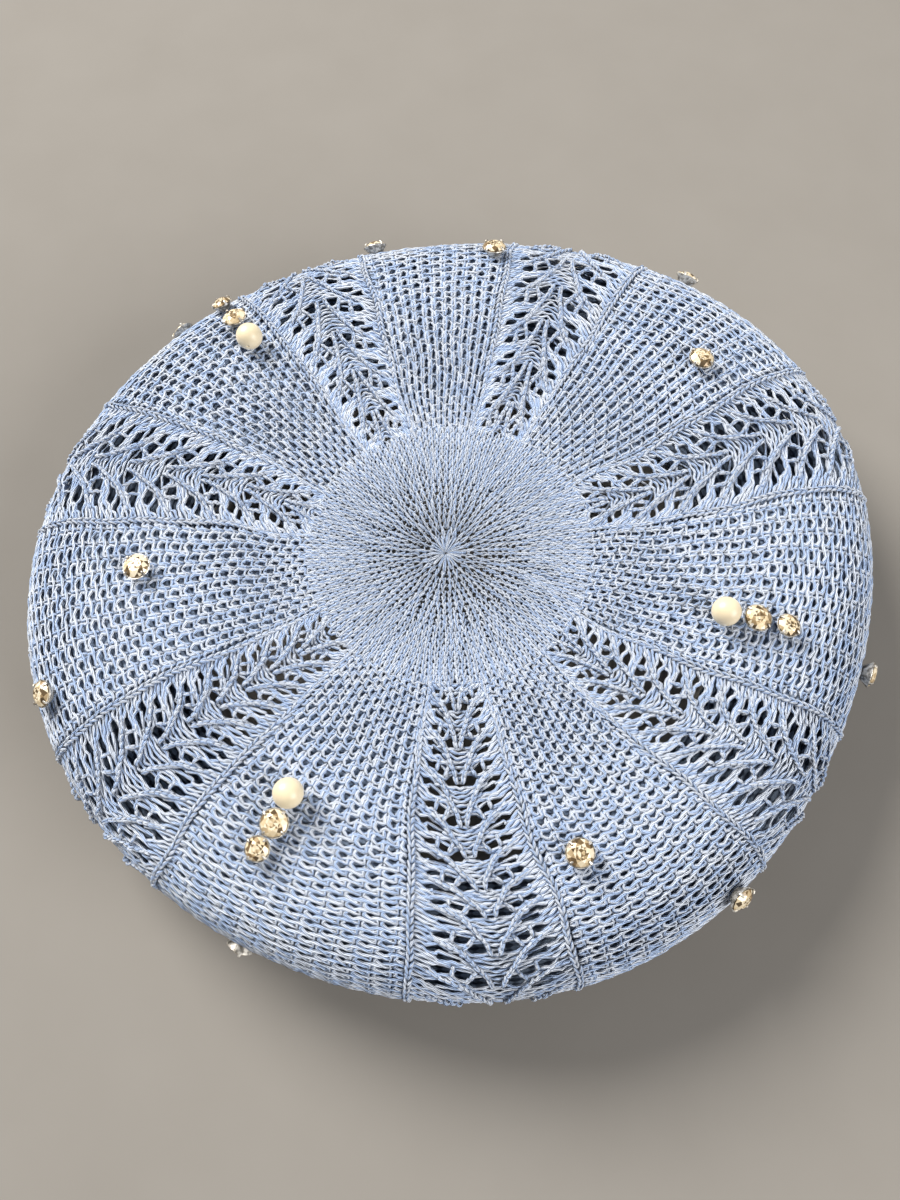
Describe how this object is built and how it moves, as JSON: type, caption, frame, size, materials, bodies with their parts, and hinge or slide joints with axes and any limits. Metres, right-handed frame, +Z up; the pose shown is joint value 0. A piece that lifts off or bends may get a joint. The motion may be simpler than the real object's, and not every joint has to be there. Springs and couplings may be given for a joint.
{
  "type": "knit beret",
  "caption": "Round knit cotton beret with fern lace panels between plain panels, claw-set stones and pearls sewn on the crown, and a ribbed head band that it lies on.",
  "frame": {"origin": "on the resting plane, under the middle of the beret's box, at the foot of the head band", "axes": "+Z up through the crown, -Y towards the picture's viewer, +X to the right of the picture"},
  "size_m": [0.2871, 0.2721, 0.0686],
  "materials": {
    "cotton": "matt cotton yarn, pale blue and white strands plied together",
    "crystal": "brilliant-cut glass chaton, champagne, foil-backed",
    "silver": "darkened silver-coloured claw setting",
    "pearl": "cream imitation pearl with a soft lustre"
  },
  "bodies": {
    "root": {"crown": "cotton", "head_band": "cotton", "single_stone_1": "crystal", "single_setting_1": "silver", "single_stone_2": "crystal", "single_setting_2": "silver", "single_stone_4": "crystal", "single_setting_4": "silver", "single_stone_6": "crystal", "single_setting_6": "silver", "trio_large_stone_3": "crystal", "trio_large_setting_3": "silver", "trio_large_stone_5": "crystal", "trio_large_setting_5": "silver", "trio_large_stone_7": "crystal", "trio_large_setting_7": "silver", "trio_small_stone_3": "crystal", "trio_small_setting_3": "silver", "trio_small_stone_5": "crystal", "trio_small_setting_5": "silver", "trio_small_stone_7": "crystal", "trio_small_setting_7": "silver", "rim_stone_1": "crystal", "rim_setting_1": "silver", "rim_stone_2": "crystal", "rim_setting_2": "silver", "rim_stone_3": "crystal", "rim_setting_3": "silver", "rim_stone_4": "crystal", "rim_setting_4": "silver", "rim_stone_5": "crystal", "rim_setting_5": "silver", "rim_stone_6": "crystal", "rim_setting_6": "silver", "rim_stone_7": "crystal", "rim_setting_7": "silver", "trio_pearl_3": "pearl", "trio_pearl_5": "pearl", "trio_pearl_7": "pearl"}
  },
  "joints": []
}
